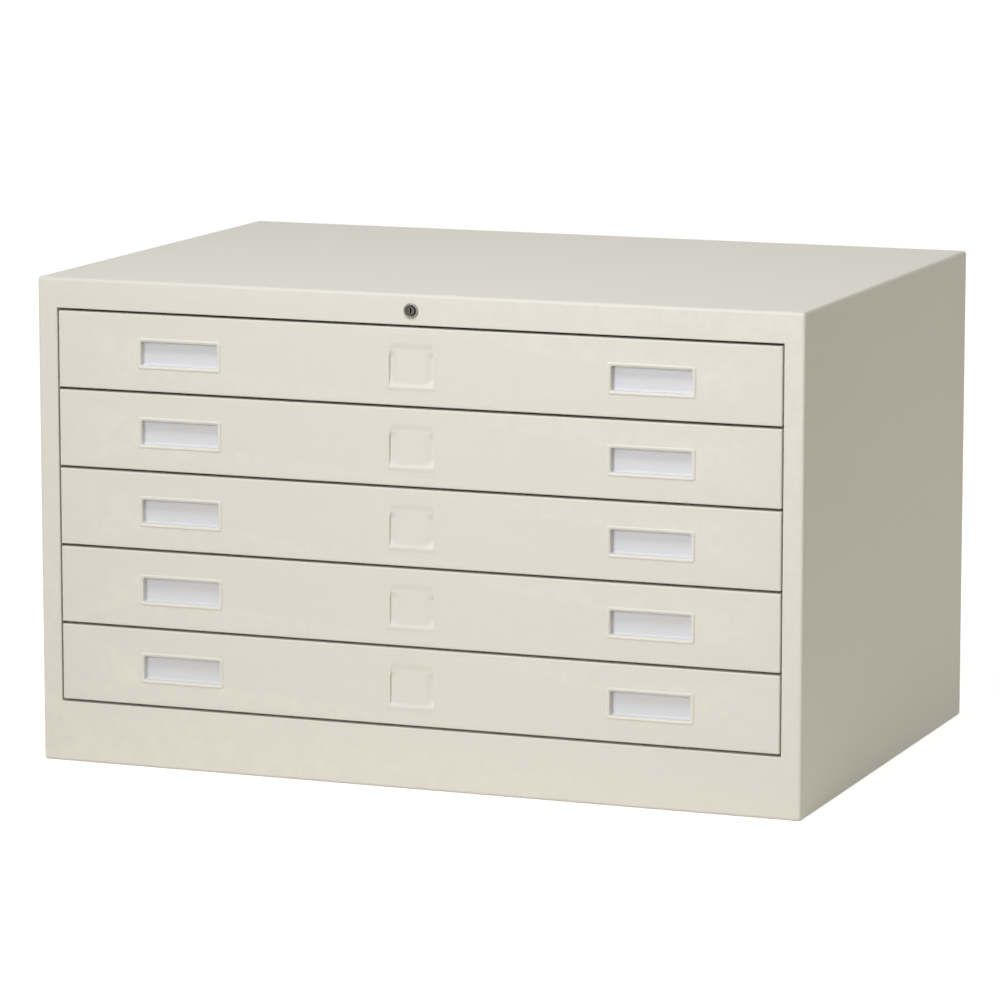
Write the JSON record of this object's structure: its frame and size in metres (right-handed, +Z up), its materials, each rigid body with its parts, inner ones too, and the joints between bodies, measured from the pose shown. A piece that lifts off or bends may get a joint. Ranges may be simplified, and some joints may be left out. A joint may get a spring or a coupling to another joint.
{
  "type": "flat file cabinet",
  "caption": "Low, wide steel flat file cabinet with shallow full-width drawers, flush cup pulls, pressed label recesses and a gang lock in the top rail.",
  "frame": {"origin": "middle of the base, on the floor plane, at the centre of the overall box", "axes": "+X to the cabinet's right as seen from the front, +Y to the rear, +Z up; drawers open towards -Y"},
  "size_m": [1.07, 0.7322, 0.655],
  "materials": {
    "case_paint": "cream powder coat, fine satin texture",
    "drawer_paint": "cream powder coat, fine satin texture",
    "inner_paint": "cream powder coat, duller inside",
    "pull_satin": "pale satin",
    "zinc_steel": "bright zinc plate",
    "lock_metal": "satin nickel plate"
  },
  "bodies": {
    "case": {"top_panel": "case_paint", "left_side_panel": "case_paint", "right_side_panel": "case_paint", "back_panel": "case_paint", "bottom_panel": "inner_paint", "plinth_front": "case_paint", "left_front_upright": "inner_paint", "left_rear_upright": "inner_paint", "right_front_upright": "inner_paint", "right_rear_upright": "inner_paint", "lock_body": "lock_metal", "lock_nut": "zinc_steel", "shaft_bracket": "zinc_steel", "upper_bar_guide": "zinc_steel", "lower_bar_guide": "zinc_steel", "drawer_1_left_runner": "zinc_steel", "drawer_1_right_runner": "zinc_steel", "drawer_2_left_runner": "zinc_steel", "drawer_2_right_runner": "zinc_steel", "drawer_3_left_runner": "zinc_steel", "drawer_3_right_runner": "zinc_steel", "drawer_4_left_runner": "zinc_steel", "drawer_4_right_runner": "zinc_steel", "drawer_5_left_runner": "zinc_steel", "drawer_5_right_runner": "zinc_steel"},
    "drawer_1": {"drawer_1_front": "drawer_paint", "drawer_1_tray": "inner_paint", "drawer_1_left_pull": "pull_satin", "drawer_1_right_pull": "pull_satin", "drawer_1_left_slide": "zinc_steel", "drawer_1_right_slide": "zinc_steel"},
    "drawer_2": {"drawer_2_front": "drawer_paint", "drawer_2_tray": "inner_paint", "drawer_2_left_pull": "pull_satin", "drawer_2_right_pull": "pull_satin", "drawer_2_left_slide": "zinc_steel", "drawer_2_right_slide": "zinc_steel"},
    "drawer_3": {"drawer_3_front": "drawer_paint", "drawer_3_tray": "inner_paint", "drawer_3_left_pull": "pull_satin", "drawer_3_right_pull": "pull_satin", "drawer_3_left_slide": "zinc_steel", "drawer_3_right_slide": "zinc_steel"},
    "drawer_4": {"drawer_4_front": "drawer_paint", "drawer_4_tray": "inner_paint", "drawer_4_left_pull": "pull_satin", "drawer_4_right_pull": "pull_satin", "drawer_4_left_slide": "zinc_steel", "drawer_4_right_slide": "zinc_steel"},
    "drawer_5": {"drawer_5_front": "drawer_paint", "drawer_5_tray": "inner_paint", "drawer_5_left_pull": "pull_satin", "drawer_5_right_pull": "pull_satin", "drawer_5_left_slide": "zinc_steel", "drawer_5_right_slide": "zinc_steel"},
    "lock_bar": {"lock_bar": "zinc_steel"},
    "lock_plug": {"lock_plug": "lock_metal", "lock_shaft": "zinc_steel"}
  },
  "joints": [
    {"name": "drawer_1_slide", "type": "slide", "parent": "case", "child": "drawer_1", "axis": [0, -1, 0], "range_m": [0, 0.5]},
    {"name": "drawer_2_slide", "type": "slide", "parent": "case", "child": "drawer_2", "axis": [0, -1, 0], "range_m": [0, 0.5]},
    {"name": "drawer_3_slide", "type": "slide", "parent": "case", "child": "drawer_3", "axis": [0, -1, 0], "range_m": [0, 0.5]},
    {"name": "drawer_4_slide", "type": "slide", "parent": "case", "child": "drawer_4", "axis": [0, -1, 0], "range_m": [0, 0.5]},
    {"name": "drawer_5_slide", "type": "slide", "parent": "case", "child": "drawer_5", "axis": [0, -1, 0], "range_m": [0, 0.5]},
    {"name": "lock_bar_slide", "type": "slide", "parent": "case", "child": "lock_bar", "axis": [0, 0, 1], "range_m": [-0.0113, 0]},
    {"name": "key_turn", "type": "hinge", "parent": "case", "child": "lock_plug", "pos_m": [0, -0.36395, 0.633], "axis": [0, 1, 0], "range_deg": [0, 90]}
  ],
  "couplings": [
    {"joint": "key_turn", "follows": "lock_bar_slide", "rad_per_m": -138.84}
  ]
}
